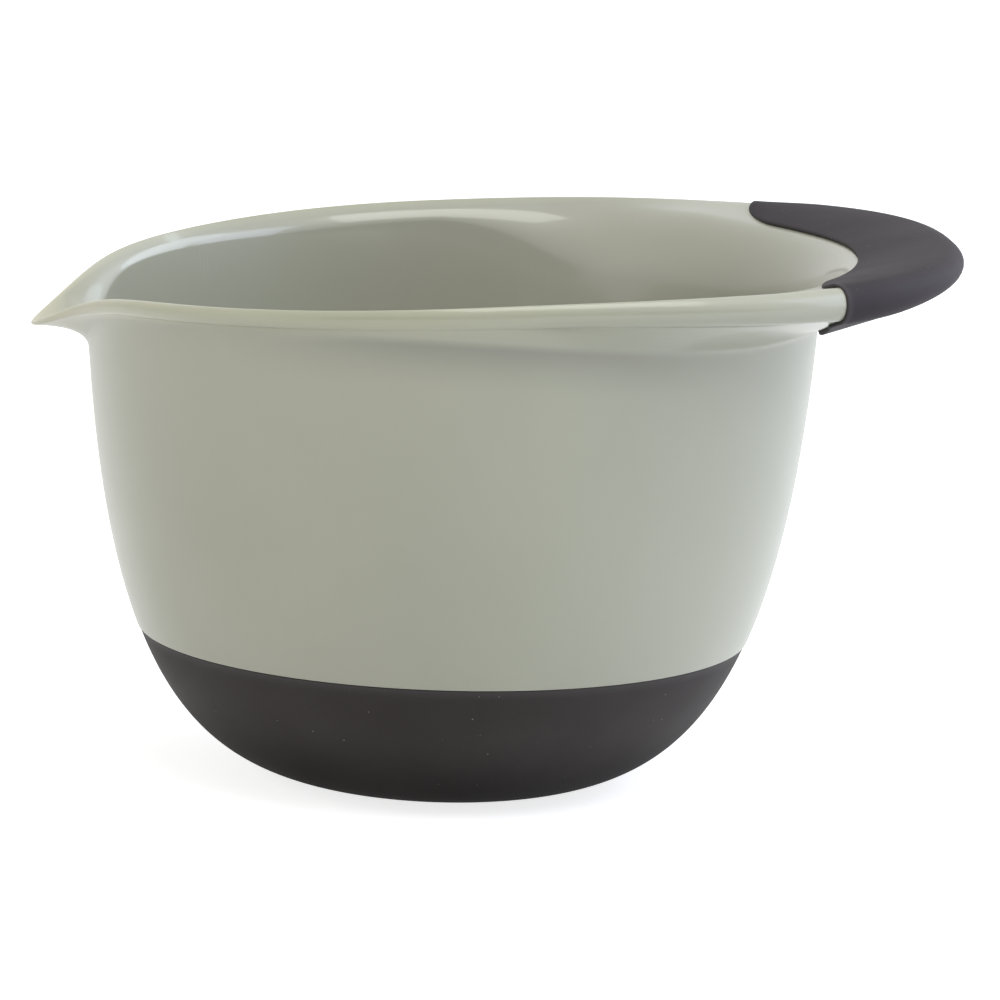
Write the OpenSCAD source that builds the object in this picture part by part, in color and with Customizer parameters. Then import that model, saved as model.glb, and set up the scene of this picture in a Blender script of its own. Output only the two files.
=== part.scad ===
// Batter bowl: one moulded bowl with a pouring spout and a crescent handle,
// a soft grip moulded round the handle and a soft skin moulded round the base.
// The spout points to -X, the handle to +X, and the bowl stands on z = 0.

/* [Bowl] */
// Height of the rim above the table, at the bowl's sides
rim_h = 136.5; // [115:0.5:160]
// Radius that the wall leans towards
wall_r = 95.4; // [82:0.2:110]
// Height at which the wall would stand upright
wall_rise = 214; // [180:1:280]
// Wall thickness at the rim
wall_t = 3; // [2.2:0.1:4]
// Thickness of the hard floor
floor_t = 2.6; // [2:0.1:4]
// Depth by which the flat foot cuts the round bottom
foot_cut = 1.5; // [0.8:0.1:3]

/* [Base skin] */
// Height of the seam between the bowl and its soft base
seam_z = 38.2; // [25:0.2:60]
// Thickness of the soft base
skin_t = 1.4; // [1:0.1:2.4]
// Depth of the soft base's face below the wall's face
seam_step = 0.25; // [0.2:0.05:0.8]

/* [Rim] */
// Fall of the rim from the sides to the spout
spout_fall = 8.3; // [4:0.1:11]
// Rise of the rim from the sides to the handle
handle_rise = 3.8; // [2:0.1:8]
// Height of the rim's bead beside the spout
bead_h = 4.4; // [3:0.1:6]
// Width of the bead outside the crest, beside the spout
bead_w = 1.6; // [1:0.1:3]
// Depth of the crease under the rim at the spout's side
crease_drop = 9; // [7.6:0.1:12]

/* [Handle] */
// How far the crest runs out beyond the rim at the handle
handle_reach = 29.7; // [24:0.1:40]
// Lift of the handle's tip above the rim's bow
handle_lift = 1.9; // [0:0.1:5]
// Height of the bead at the grip's ends
grip_bead_h = 8.5; // [7:0.1:11]
// Height of the bead at the handle's tip
handle_bead_h = 4.6; // [4:0.1:8]
// Width of the bead at the handle's tip
handle_bead_w = 4.1; // [3:0.1:6]
// Depth of the crease where the handle joins the wall
handle_drop = 13.6; // [12:0.1:20]
// Width of the rounded shoulder between the wall and the grip
shoulder_w = 8.7; // [6:0.1:12]
// Angle that the grip reaches to each side
grip_half_a = 40; // [30:0.5:46]
// Thickness of the soft grip on the handle's top
grip_t = 0.9; // [0.8:0.1:2]
// Thickness of the soft grip under the handle
grip_under_t = 1.4; // [1:0.1:2.4]

/* [Spout] */
// How far the lip runs out beyond the rim
spout_reach = 12.5; // [9:0.1:18]
// How far the lip dips at its tip
spout_dip = 10.4; // [6:0.1:15]
// Angle that the spout spreads to each side
spout_half_a = 60; // [30:0.5:66]
// Thickness of the lip at its tip
lip_t = 1; // [0.8:0.1:2.4]
// Roundness of the lip's edge
lip_w = 0.8; // [0.5:0.1:1.5]
// Depth of the fillet under the spout
spout_root = 6.2; // [4:0.1:9]

/* [Hidden] */

// Gap that the moulding bond fills between a soft piece and the bowl
bond = 0.1;
// Least depth of the crease under the bead
crease_least = 2;
// Roundness of the crest on its inner side
crest_round = 0.8;
// Least height of the shoulder inside the rim
shoulder_least = 3;
// Distance of the spout's inner edge from the wall
spout_shoulder_w = 3;
// Fineness of the circles
fine = 128;

// Powers of the wall's curve
wall_power = 3.16;
floor_power = 3.86;
// Power of the handle's outline, seen from above
handle_power = 2.44;
// Powers of the bead's and the spout's growth along the rim
bead_power = 2.5;
edge_power = 1.25;
spout_power = 4.65;
// Powers of the spout's dip and reach along its share
spout_dip_power = 1.15;
spout_reach_power = 1.55;
// Power of the corners of the bead
bead_corner = 2.6;
// Roundness of the spout's tip, as a share of its spread
spout_tip_share = 0.06;
// Slopes of the handle's top and of the spout's lip
handle_slope = 0.19;
spout_slope = -0.13;
// Height of the shoulder for each unit of its width
shoulder_slope = 1.3;
// Where the crease starts to fall, and over how much of the way
crease_start_share = 0.2;
crease_span_share = 1.05;
// How far up the handle's underside the grip starts: in the middle and at its ends
grip_start_shares = [0.04, 0.86];
grip_start_power = 5;
// Where the grip's inner corners start to round, and how much of the top they take
grip_corner_shares = [0.76, 0.8];
// How much closer the columns stand at the spout's tip
tip_power = 1.4;
// Lean of the grip's ends for each unit inwards, and how soon it starts
grip_lean = 0.27;
grip_lean_power = 3;
// Where the handle's lift starts, as a share of the rim's radius
lift_start_share = 0.74;
// Place of the bead's widest point, down from the crest
bead_middle_share = 0.5;

// Columns from the handle to the spout, and rows of each part of the section
grip_columns = 13;
side_columns = 24;
spout_columns = 21;
core_rows = 7;
wall_rows = 6;
crease_rows = 4;
bead_rows = 4;
top_rows = 2;
shoulder_rows = 6;
inner_rows = 10;

// Derived sizes
crest_r = wall_radius(rim_h);
handle_x = crest_r + handle_reach;
grip_r = wall_radius(rim_h) + shoulder_w;
spout_knee_r = wall_radius(rim_h) + spout_shoulder_w;
rim_bow = (handle_rise / handle_x - spout_fall / crest_r) / (handle_x + crest_r);
rim_tilt = handle_rise / handle_x - rim_bow * handle_x;
skin_in = seam_step + skin_t;
core_in = skin_in + bond;
base_t = core_in + floor_t;
floor_z = skin_t + bond + floor_t;
spout_start_a = 180 - spout_half_a;

function mix(a, b, t) = a + (b - a) * t;
function smooth(t) = let (u = min(max(t, 0), 1)) u * u * (3 - 2 * u);

// Outer radius of the wall at a height above the table
function wall_radius(z) =
    wall_r * pow(1 - pow(max(1 - (z + foot_cut) / wall_rise, 0), wall_power), 1 / floor_power);

// Angle along the wall's curve at a height above the table
function wall_turn(z) = acos(pow(1 - (z + foot_cut) / wall_rise, wall_power / 2));

// Point of the wall's curve, moved out square to the wall
function wall_point(turn, out) =
    let (r = wall_r * pow(sin(turn), 2 / floor_power),
         z = wall_rise * (1 - pow(cos(turn), 2 / wall_power)) - foot_cut,
         dr = wall_r * 2 / floor_power * pow(sin(turn), 2 / floor_power - 1) * cos(turn),
         dz = wall_rise * 2 / wall_power * pow(cos(turn), 2 / wall_power - 1) * sin(turn),
         len = norm([dr, dz]))
    [r + out * dz / len, z - out * dr / len];

// The same point, kept above a flat floor
function floor_point(turn, out, low) =
    let (p = wall_point(turn, out)) [p[0], max(p[1], low)];

// Edge of a flat floor inside the foot
function foot_point(out, low) = [wall_radius(0) + out, low];

// Thickness of the wall and its soft base together, at a place on the wall's curve
function thickness(turn) =
    mix(base_t, wall_t, min(max(wall_point(turn, 0)[1] / rim_h, 0), 1));

// Shares of the bead and the spout in the rim at an angle from the handle
function bead_share(a) = pow((1 + cos(a)) / 2, bead_power);
function bead_height(a) =
    let (c = cos(a), g = cos(grip_half_a))
    c < g ? mix(bead_h, grip_bead_h, pow((1 + c) / (1 + g), bead_power))
          : mix(grip_bead_h, handle_bead_h, pow((c - g) / (1 - g), edge_power));
function spout_share(a) =
    let (u = abs(180 - abs(a)) / spout_half_a,
         e = spout_tip_share,
         h = (sqrt(u * u + e * e) - e) / (sqrt(1 + e * e) - e))
    u < 1 ? pow(1 - h, spout_power) : 0;

// Outline of the rim seen from above: half a circle at the spout, a long rounded half at the handle
function outline_radius(a) =
    let (c = max(cos(a), 0) / handle_x, s = abs(sin(a)) / crest_r)
    cos(a) < 0 ? crest_r : pow(pow(c, handle_power) + pow(s, handle_power), -1 / handle_power);

// Crest of the rim as radius and height
function crest(a) =
    let (s = spout_share(a),
         r = outline_radius(a) + spout_reach * pow(s, spout_reach_power),
         x = r * cos(a),
         start = crest_r * lift_start_share,
         t = max(x - start, 0) / (handle_x - start))
    [r, rim_h + rim_tilt * x + rim_bow * x * x + handle_lift * t * t - spout_dip * pow(s, spout_dip_power)];

// Quarter of a rounded corner from p to q, square to the radius at q
function corner(p, q, n, rising) =
    [for (k = [1 : n])
        let (t = 90 * k / n,
             c = pow(cos(t), 2 / bead_corner),
             s = pow(sin(t), 2 / bead_corner))
        rising ? [mix(p[0], q[0], s), mix(q[1], p[1], c)] : [mix(q[0], p[0], c), mix(p[1], q[1], s)]];

// Arc from p to q that is drawn towards the corner c
function bend(p, c, q, n) =
    [for (k = [1 : n])
        let (t = k / n) p * (1 - t) * (1 - t) + c * 2 * t * (1 - t) + q * t * t];

// Places on the rim's section at one angle: crest, bead, crease and shoulder
function bead_low(a) =
    let (s = spout_share(a),
         p = crest(a),
         z = p[1] - mix(bead_height(a), lip_t, s))
    [max(p[0], wall_radius(z) + bond), z];
function bead_out(a) =
    let (s = spout_share(a),
         p = crest(a))
    [p[0] + mix(mix(bead_w, handle_bead_w, bead_share(a)), lip_w, s),
     mix(p[1], bead_low(a)[1], bead_middle_share)];
function crease(a) =
    let (s = spout_share(a),
         fall = smooth((cos(a) + crease_start_share) / crease_span_share),
         z = min(rim_h - mix(crease_drop, handle_drop, fall),
                 bead_low(a)[1] - mix(crease_least, spout_root, s)))
    [wall_radius(z), z];
function top_slope(a) = mix(handle_slope, spout_slope, spout_share(a));
function knee(a) =
    let (p = crest(a),
         r = min(p[0] - crest_round, mix(grip_r, spout_knee_r, spout_share(a))))
    [r, p[1] - top_slope(a) * (p[0] - r)];
function shoulder_turn(a) =
    let (p = knee(a),
         w = p[0] - wall_radius(p[1]) + wall_t)
    wall_turn(p[1] - shoulder_least - shoulder_slope * w);
function shoulder_end(a) = let (t = shoulder_turn(a)) wall_point(t, -thickness(t));

// Underside of the rim from the wall to the bead, started part of the way along
function underside(a, n, start) =
    let (p = crease(a),
         q = bead_low(a),
         c = mix((p + q) / 2, [p[0], q[1]], spout_share(a)))
    [for (k = [0 : n])
        let (t = mix(start, 1, k / n)) p * (1 - t) * (1 - t) + c * 2 * t * (1 - t) + q * t * t];
// The bead, from its lower edge to the crest
function bead(a) = concat(
    corner(bead_low(a), bead_out(a), bead_rows, true),
    corner(bead_out(a), crest(a), bead_rows, false));
// Top of the rim from the crest towards the shoulder
function rim_top(a, share) = [for (k = [1 : top_rows]) mix(crest(a), knee(a), share * k / top_rows)];

// Section of the bowl at one angle, from under the base, up outside and down inside
function bowl_section(a) =
    let (foot = wall_turn(0),
         seam = wall_turn(seam_z),
         low = crease(a),
         k = knee(a),
         end = shoulder_end(a),
         end_turn = shoulder_turn(a),
         c = [end[0], k[1] - top_slope(a) * (k[0] - end[0])])
    concat(
        [foot_point(-core_in, skin_t + bond)],
        [for (i = [1 : core_rows]) floor_point(mix(foot, seam, i / core_rows), -core_in, skin_t + bond)],
        [for (i = [0 : wall_rows - 1])
            let (z = mix(seam_z, low[1], i / wall_rows)) [wall_radius(z), z]],
        underside(a, crease_rows, 0),
        bead(a),
        rim_top(a, 1),
        bend(k, c, end, shoulder_rows),
        [for (i = [1 : inner_rows - 1])
            let (t = mix(end_turn, foot, i / inner_rows)) floor_point(t, -thickness(t), floor_z)],
        [foot_point(-base_t, floor_z)]);

// Angles of the columns, handle first, all the way round
half_turn = concat(
    [for (i = [0 : grip_columns - 1]) grip_half_a * i / grip_columns],
    [for (i = [0 : side_columns - 1]) mix(grip_half_a, spout_start_a, i / side_columns)],
    [for (i = [0 : spout_columns]) 180 - spout_half_a * pow(1 - i / spout_columns, tip_power)]);
full_turn = concat(half_turn, [for (i = [len(half_turn) - 2 : -1 : 1]) 360 - half_turn[i]]);

function place(p, a) = [p[0] * cos(a), p[0] * sin(a), p[1]];

// Two triangles of the patch between two columns and two rows
function patch(a, b, c, d) = [[a, b, c], [a, c, d]];

// Closed surface through sections that stand round the axis, ended on the axis
module turned(sections, angles, low, high) {
    rows = len(sections[0]);
    columns = len(angles);
    first = rows * columns;
    points = concat(
        [for (i = [0 : columns - 1]) for (p = sections[i]) place(p, angles[i])],
        [[0, 0, low], [0, 0, high]]);
    faces = concat(
        [for (i = [0 : columns - 1]) for (j = [0 : rows - 2])
            let (n = (i + 1) % columns)
            each patch(i * rows + j, i * rows + j + 1, n * rows + j + 1, n * rows + j)],
        [for (i = [0 : columns - 1])
            let (n = (i + 1) % columns) [first, i * rows, n * rows]],
        [for (i = [0 : columns - 1])
            let (n = (i + 1) % columns) [first + 1, (n + 1) * rows - 1, (i + 1) * rows - 1]]);
    polyhedron(points, faces);
}

// Closed band through closed sections of radius, height and angle, capped at both ends
module band(sections) {
    rows = len(sections[0]);
    columns = len(sections);
    half = rows / 2;
    last = (columns - 1) * rows;
    points = [for (section = sections) for (p = section) place(p, p[2])];
    sides = [for (i = [0 : columns - 2]) for (j = [0 : rows - 1])
        let (m = (j + 1) % rows)
        each patch(i * rows + j, (i + 1) * rows + j, (i + 1) * rows + m, i * rows + m)];
    near = [for (j = [0 : half - 2]) each patch(j, j + 1, rows - 2 - j, rows - 1 - j)];
    far = [for (f = near) [f[2] + last, f[1] + last, f[0] + last]];
    polyhedron(points, concat(sides, near, far));
}

// Point of a path, moved out square to the path in its own plane
function moved(path, i, out) =
    let (p = path[max(i - 1, 0)],
         q = path[min(i + 1, len(path) - 1)],
         d = (q - p) / norm(q - p))
    path[i] + [d[1], -d[0]] * out;

// Path on the handle's surface at one angle, from its underside over the bead to its top
function grip_path(a, start, share) = concat(underside(a, crease_rows, start), bead(a), rim_top(a, share));

// Thickness of the grip along its path
function grip_thickness(i) = mix(grip_under_t, grip_t, smooth((i - crease_rows) / (2 * bead_rows)));

// Section of the grip near one angle: its inner face, then its outer face back again.
// Towards the grip's ends the section leans, so that the ends stand square to the rim.
function grip_section(a) =
    let (w = abs(a) / grip_half_a,
         start = mix(grip_start_shares[0], grip_start_shares[1], pow(w, grip_start_power)),
         u = max(w - grip_corner_shares[0], 0) / (1 - grip_corner_shares[0]),
         share = 1 - grip_corner_shares[1] * (1 - sqrt(max(1 - u * u, 0))),
         lean = sign(a) * grip_lean * pow(w, grip_lean_power),
         edge_r = bead_out(a)[0],
         turns = [for (p = grip_path(a, start, share)) a - lean * (edge_r - p[0]) / p[0] * 180 / PI],
         paths = [for (turn = turns) grip_path(turn, start, share)],
         last = len(turns) - 1)
    concat(
        [for (i = [0 : last]) concat(moved(paths[i], i, bond), turns[i])],
        [for (i = [last : -1 : 0]) concat(moved(paths[i], i, bond + grip_thickness(i)), turns[i])]);

// The hard bowl with its rim, spout and handle core
module bowl_shell() {
    color([0.64, 0.65, 0.59])
        turned([for (a = full_turn) bowl_section(a)], full_turn, skin_t + bond, floor_z);
}

// The soft skin round the base, with the flat foot that the bowl stands on
module base_skin() {
    foot = wall_turn(0);
    seam = wall_turn(seam_z - bond);
    outer = [for (i = [1 : core_rows * 2]) floor_point(mix(foot, seam, i / core_rows / 2), -seam_step, 0)];
    inner = [for (i = [core_rows : -1 : 1]) floor_point(mix(foot, seam, i / core_rows), -skin_in, skin_t)];
    color([0.24, 0.22, 0.23])
        rotate_extrude($fn = fine)
            polygon(concat([[0, 0], foot_point(-seam_step, 0)], outer,
                           inner, [foot_point(-skin_in, skin_t), [0, skin_t]]));
}

// The soft grip round the handle: over its top, round its edge and under it
module handle_grip() {
    angles = [for (i = [-grip_columns : grip_columns]) grip_half_a * i / grip_columns];
    color([0.26, 0.24, 0.25])
        band([for (a = angles) grip_section(a)]);
}

bowl_shell();
base_skin();
handle_grip();
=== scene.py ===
# %% [markdown]
# # A batter bowl
# The real bowl is one hard moulding with a spout and a crescent handle. A soft skin is moulded
# round its base, and a soft grip round its handle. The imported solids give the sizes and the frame.
# This lesson rebuilds the three pieces from the same curves with many more faces, rounds their
# edges as a mould does, and gives each one its finish.

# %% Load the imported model
import math

import bpy
import numpy as np
from mathutils import Matrix, Vector


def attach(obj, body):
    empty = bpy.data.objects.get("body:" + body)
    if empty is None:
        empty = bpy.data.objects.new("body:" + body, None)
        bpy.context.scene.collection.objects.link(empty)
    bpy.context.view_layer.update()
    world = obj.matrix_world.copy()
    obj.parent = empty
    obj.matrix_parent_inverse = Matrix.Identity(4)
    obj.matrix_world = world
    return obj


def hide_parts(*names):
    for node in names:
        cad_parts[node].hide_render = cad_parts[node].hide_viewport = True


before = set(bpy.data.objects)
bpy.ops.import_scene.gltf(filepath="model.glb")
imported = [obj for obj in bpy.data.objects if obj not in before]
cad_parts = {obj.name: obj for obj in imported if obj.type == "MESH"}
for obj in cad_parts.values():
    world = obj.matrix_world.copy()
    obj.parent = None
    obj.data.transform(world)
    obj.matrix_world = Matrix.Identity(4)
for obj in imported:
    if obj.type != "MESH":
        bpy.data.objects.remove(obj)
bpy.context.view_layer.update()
MM = 0.001
print("nodes:", sorted(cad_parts))

# %% [markdown]
# ## The camera
# A camera could be placed by eye, but this one is worked out. It looks from the front, a little
# from the spout's side and ten degrees from above, through a long lens, and it is rolled by two
# degrees, because the photographer's camera wasn't quite level.

# %% Camera
CAMERA_SIDE, CAMERA_LIFT, CAMERA_ROLL = (math.radians(a) for a in (-5.7, 10.41, 1.99))
CAMERA_FAR = 1593.2 * MM
CAMERA_AIM = (13.8 * MM, 72.1 * MM)
LENS_MM, SENSOR_MM = 222.5, 36.0

back = Vector((math.sin(CAMERA_SIDE) * math.cos(CAMERA_LIFT),
               -math.cos(CAMERA_SIDE) * math.cos(CAMERA_LIFT),
               math.sin(CAMERA_LIFT)))
right = Vector((math.cos(CAMERA_SIDE), math.sin(CAMERA_SIDE), 0))
above = back.cross(right)
rolled = math.cos(CAMERA_ROLL) * right + math.sin(CAMERA_ROLL) * above
upright = math.cos(CAMERA_ROLL) * above - math.sin(CAMERA_ROLL) * right
lens = bpy.data.cameras.new("camera")
lens.lens, lens.sensor_width = LENS_MM, SENSOR_MM
lens.clip_start, lens.clip_end = 0.05, 50
camera = bpy.data.objects.new("camera", lens)
bpy.context.collection.objects.link(camera)
stand = right * CAMERA_AIM[0] + Vector((0, 0, CAMERA_AIM[1])) + back * CAMERA_FAR
camera.matrix_world = Matrix.Translation(stand) @ Matrix((rolled, upright, back)).transposed().to_4x4()
bpy.context.scene.camera = camera
print("camera stands at", [round(v, 3) for v in stand])

# %% [markdown]
# ## Writing shaders as sums
# A finish is a graph of nodes, and long graphs are hard to read. The class Wire wraps a node's
# output, so that `1 - mask * 0.5` adds its Math nodes by itself. The class Finish holds a
# material's nodes, and its method `add` makes any other node.

# %% Wires and finishes
class Wire:
    """A node's output that can stand in a sum."""

    def __init__(self, finish, socket):
        self.finish, self.socket = finish, socket

    def math(self, operation, *terms):
        return self.finish.add("ShaderNodeMath", {"operation": operation}, dict(enumerate(terms)))

    def __add__(self, other):
        return self.math("ADD", self, other)

    def __radd__(self, other):
        return self.math("ADD", other, self)

    def __sub__(self, other):
        return self.math("SUBTRACT", self, other)

    def __rsub__(self, other):
        return self.math("SUBTRACT", other, self)

    def __mul__(self, other):
        return self.math("MULTIPLY", self, other)

    def __gt__(self, other):
        return self.math("GREATER_THAN", self, other)

    def __lt__(self, other):
        return self.math("LESS_THAN", self, other)

    def between(self, low, high):
        """0 below low, 1 above high and a smooth step between them."""
        return self.finish.add("ShaderNodeMapRange", {"interpolation_type": "SMOOTHSTEP"},
                               {"Value": self, "From Min": low, "From Max": high})


class Finish:
    """The nodes of one material or of the world."""

    def __init__(self, owner):
        owner.use_nodes = True
        self.owner, self.tree = owner, owner.node_tree
        self.tree.nodes.clear()

    def add(self, kind, settings=None, sockets=None, out=0):
        node = self.tree.nodes.new(kind)
        for name, value in (settings or {}).items():
            setattr(node, name, value)
        for key, value in (sockets or {}).items():
            self.feed(self.pick(node.inputs, key), value)
        if isinstance(out, tuple):
            return tuple(Wire(self, self.pick(node.outputs, o)) for o in out)
        return Wire(self, self.pick(node.outputs, out)) if len(node.outputs) else None

    def pick(self, sockets, key):
        if isinstance(key, int):
            return sockets[key]
        return next(s for s in sockets if s.enabled and key in (s.name, s.identifier))

    def feed(self, socket, value):
        if isinstance(value, Wire):
            self.tree.links.new(value.socket, socket)
        else:
            socket.default_value = value

    def blend(self, share, first, second):
        """A colour between two colours."""
        return self.add("ShaderNodeMix", {"data_type": "RGBA"},
                        {"Factor": share, "A": first, "B": second}, "Result")

    def noise(self, place, scale, detail=2.0):
        return self.add("ShaderNodeTexNoise", None, {"Vector": place, "Scale": scale, "Detail": detail})


print("shader helpers ready")

# %% [markdown]
# ## The stage
# A studio stands such a bowl on a white sweep under soft light. Here a wide pale floor catches
# the shadow, and the world is white where the camera or a reflection looks at it. The light that
# the world sheds on the bowl is weaker, so that the lamps can shape it.

# %% World and floor
WORLD_LIGHT = 0.33
FLOOR_HALF = 6.0
FLOOR_COLOUR = (0.70, 0.70, 0.70, 1)
FLOOR_GLOW = 0.77

world = Finish(bpy.data.worlds.new("studio"))
bpy.context.scene.world = world.owner


def seen_directly(finish):
    """1 for rays from the camera, in reflections and through glass, else 0."""
    rays = ("Is Camera Ray", "Is Glossy Ray", "Is Transmission Ray")
    camera_ray, glossy_ray, through_ray = finish.add("ShaderNodeLightPath", None, None, rays)
    return (camera_ray + glossy_ray + through_ray) > 0


sky = world.add("ShaderNodeBackground", None,
                {"Color": (1, 1, 1, 1), "Strength": WORLD_LIGHT + seen_directly(world) * (1 - WORLD_LIGHT)})
world.add("ShaderNodeOutputWorld", None, {"Surface": sky})

floor_mesh = bpy.data.meshes.new("floor")
corners = [(-FLOOR_HALF, -FLOOR_HALF, 0), (FLOOR_HALF, -FLOOR_HALF, 0),
           (FLOOR_HALF, FLOOR_HALF, 0), (-FLOOR_HALF, FLOOR_HALF, 0)]
floor_mesh.from_pydata(corners, [], [(0, 1, 2, 3)])
floor = bpy.data.objects.new("floor", floor_mesh)
bpy.context.collection.objects.link(floor)
paper = Finish(bpy.data.materials.new("white_paper"))
matte = paper.add("ShaderNodeBsdfDiffuse", None, {"Color": FLOOR_COLOUR})
glow = paper.add("ShaderNodeEmission", None,
                 {"Color": (1, 1, 1, 1), "Strength": seen_directly(paper) * FLOOR_GLOW})
both = paper.add("ShaderNodeAddShader", None, {0: matte, 1: glow})
paper.add("ShaderNodeOutputMaterial", None, {"Surface": both})
floor_mesh.materials.append(paper.owner)
bpy.context.scene.view_settings.view_transform = "Standard"
print("floor and world made")

# %% [markdown]
# ## The dark front
# A white tent has to be open at the camera's side, and a glossy bowl mirrors the dark room there.
# A darker lamp plan could do the same, but it would dim the bowl too. So a card stands in front,
# which only reflections see. It fades to white at its upper edge, as the opening of a tent does.

# %% Dark front
FRONT_FAR, FRONT_LEFT, FRONT_RIGHT, FRONT_TOP = -2.2, -2.32, 2.6, 0.62
FRONT_DARK, FRONT_FADE_SHARE = 0.2, 0.3

front_mesh = bpy.data.meshes.new("dark_front")
corners = [(FRONT_LEFT, FRONT_FAR, 0), (FRONT_RIGHT, FRONT_FAR, 0),
           (FRONT_RIGHT, FRONT_FAR, FRONT_TOP), (FRONT_LEFT, FRONT_FAR, FRONT_TOP)]
front_mesh.from_pydata(corners, [], [(0, 1, 2, 3)])
front = bpy.data.objects.new("dark_front", front_mesh)
bpy.context.collection.objects.link(front)
for ray in ("camera", "diffuse", "shadow", "transmission"):
    setattr(front, "visible_" + ray, False)
cloth = Finish(bpy.data.materials.new("dark_cloth"))
place_xyz = cloth.add("ShaderNodeTexCoord", None, None, "Object")
rise = cloth.add("ShaderNodeSeparateXYZ", None, {0: place_xyz}, "Z")
level = FRONT_DARK + rise.between(FRONT_TOP * FRONT_FADE_SHARE, FRONT_TOP) * (1 - FRONT_DARK)
dim = cloth.add("ShaderNodeEmission", None, {"Color": (1, 1, 1, 1), "Strength": level})
cloth.add("ShaderNodeOutputMaterial", None, {"Surface": dim})
front_mesh.materials.append(cloth.owner)
print("dark front made")

# %% [markdown]
# ## The lamps
# One large sheet overhead makes the pale streaks along the rim and the shoulder. Two bluish windows
# stand at the right and a warm fill at the left. The fill and a small sheet overhead only even out
# the light, so they are hidden from reflections, where they would show as patches with hard edges.

# %% Lamps
WARM_WHITE = (1.0, 1.0, 0.96)
LAMPS = {
    "overhead": {"at": (0.2, -0.74, 1.33), "size": (0.85, 1.3), "watts": 10.0,
                 "colour": WARM_WHITE, "seen": True},
    "overhead_right": {"at": (0.62, -0.36, 1.35), "size": (0.6, 0.5), "watts": 3.5,
                       "colour": WARM_WHITE, "seen": False},
    "window": {"at": (1.25, 0.55, 0.7), "size": (0.9, 1.3), "watts": 9.5,
               "colour": (0.76, 0.87, 1.0), "seen": True},
    "window_front": {"at": (1.25, -0.32, 0.6), "size": (0.85, 1.2), "watts": 8.8,
                     "colour": (0.71, 0.78, 1.0), "seen": True},
    "fill": {"at": (-1.3, -0.4, 0.6), "size": (1.0, 0.9), "watts": 7.0,
             "colour": (1.0, 0.99, 0.96), "seen": False},
}
LAMP_AIM = Vector((0, 0, 70 * MM))
for name, told in LAMPS.items():
    light = bpy.data.lights.new(name, "AREA")
    light.shape = "RECTANGLE"
    light.size, light.size_y = told["size"]
    light.energy, light.color = told["watts"], told["colour"]
    lamp = bpy.data.objects.new(name, light)
    bpy.context.collection.objects.link(lamp)
    lamp.location = told["at"]
    lamp.visible_glossy = told["seen"]
    lamp.rotation_euler = (Vector(told["at"]) - LAMP_AIM).to_track_quat("Z", "Y").to_euler()
    print(name, "lamp,", told["watts"], "W")

# %% [markdown]
# ## The wall's curve
# The wall starts flat at the foot, turns up quickly and leans out less and less towards the rim.
# A lathe profile could be traced point by point, but one rounded rule fits it within a third of a
# millimetre. All sizes here are in millimetres and become metres when the mesh is made.

# %% Wall curve
RIM_H, WALL_R, WALL_RISE, FOOT_CUT = 136.5, 95.4, 214.0, 1.5
WALL_POWER, FLOOR_POWER = 3.16, 3.86
WALL_T, FLOOR_T, SKIN_T, SEAM_STEP, SEAM_Z, BOND = 3.0, 2.6, 1.4, 0.25, 38.2, 0.1
SKIN_IN = SEAM_STEP + SKIN_T
CORE_IN = SKIN_IN + BOND
BASE_T = CORE_IN + FLOOR_T
FLOOR_Z = SKIN_T + BOND + FLOOR_T


def mix(a, b, t):
    return a + (b - a) * t


def smooth(t):
    u = np.clip(t, 0, 1)
    return u * u * (3 - 2 * u)


def wall_radius(z):
    lean = np.maximum(1 - (z + FOOT_CUT) / WALL_RISE, 0)
    return WALL_R * (1 - lean ** WALL_POWER) ** (1 / FLOOR_POWER)


def wall_turn(z):
    return np.arccos((1 - (z + FOOT_CUT) / WALL_RISE) ** (WALL_POWER / 2))


def wall_point(turn, out):
    """Point of the wall's curve, moved out square to the wall."""
    s, c = np.sin(turn), np.cos(turn)
    r = WALL_R * s ** (2 / FLOOR_POWER)
    z = WALL_RISE * (1 - c ** (2 / WALL_POWER)) - FOOT_CUT
    dr = WALL_R * 2 / FLOOR_POWER * s ** (2 / FLOOR_POWER - 1) * c
    dz = WALL_RISE * 2 / WALL_POWER * c ** (2 / WALL_POWER - 1) * s
    n = np.hypot(dr, dz)
    return np.stack([r + out * dz / n, z - out * dr / n], -1)


def thickness(turn):
    """Wall and soft base together."""
    return mix(BASE_T, WALL_T, np.clip(wall_point(turn, 0 * turn)[..., 1] / RIM_H, 0, 1))


def above_floor(points, low, ease):
    """The points, kept above a flat floor with a soft bend where the curve meets it."""
    z = points[..., 1] - low
    eased = low + (z + np.sqrt(z * z + ease * ease)) / 2
    return np.stack([points[..., 0], eased], -1)


print("wall is", round(2 * float(wall_radius(RIM_H)), 1), "mm across at the rim")

# %% [markdown]
# ## The rim's rule
# Seen from above, the rim is half a circle at the spout's side and a longer rounded half at the
# handle. Seen from the side, it falls to the spout and rises to the handle in a shallow bow. A
# bead runs round it, low beside the spout and high beside the grip, and a bevel under the bead
# meets the wall in a soft crease. Along the sides the top edge turns out a little, and a band
# stands proud of the wall under the bead and ends in a soft ledge, which throws the dark line
# there. A bevel on a plain rim wouldn't give that line, so each form has a rule of its own.

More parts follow.
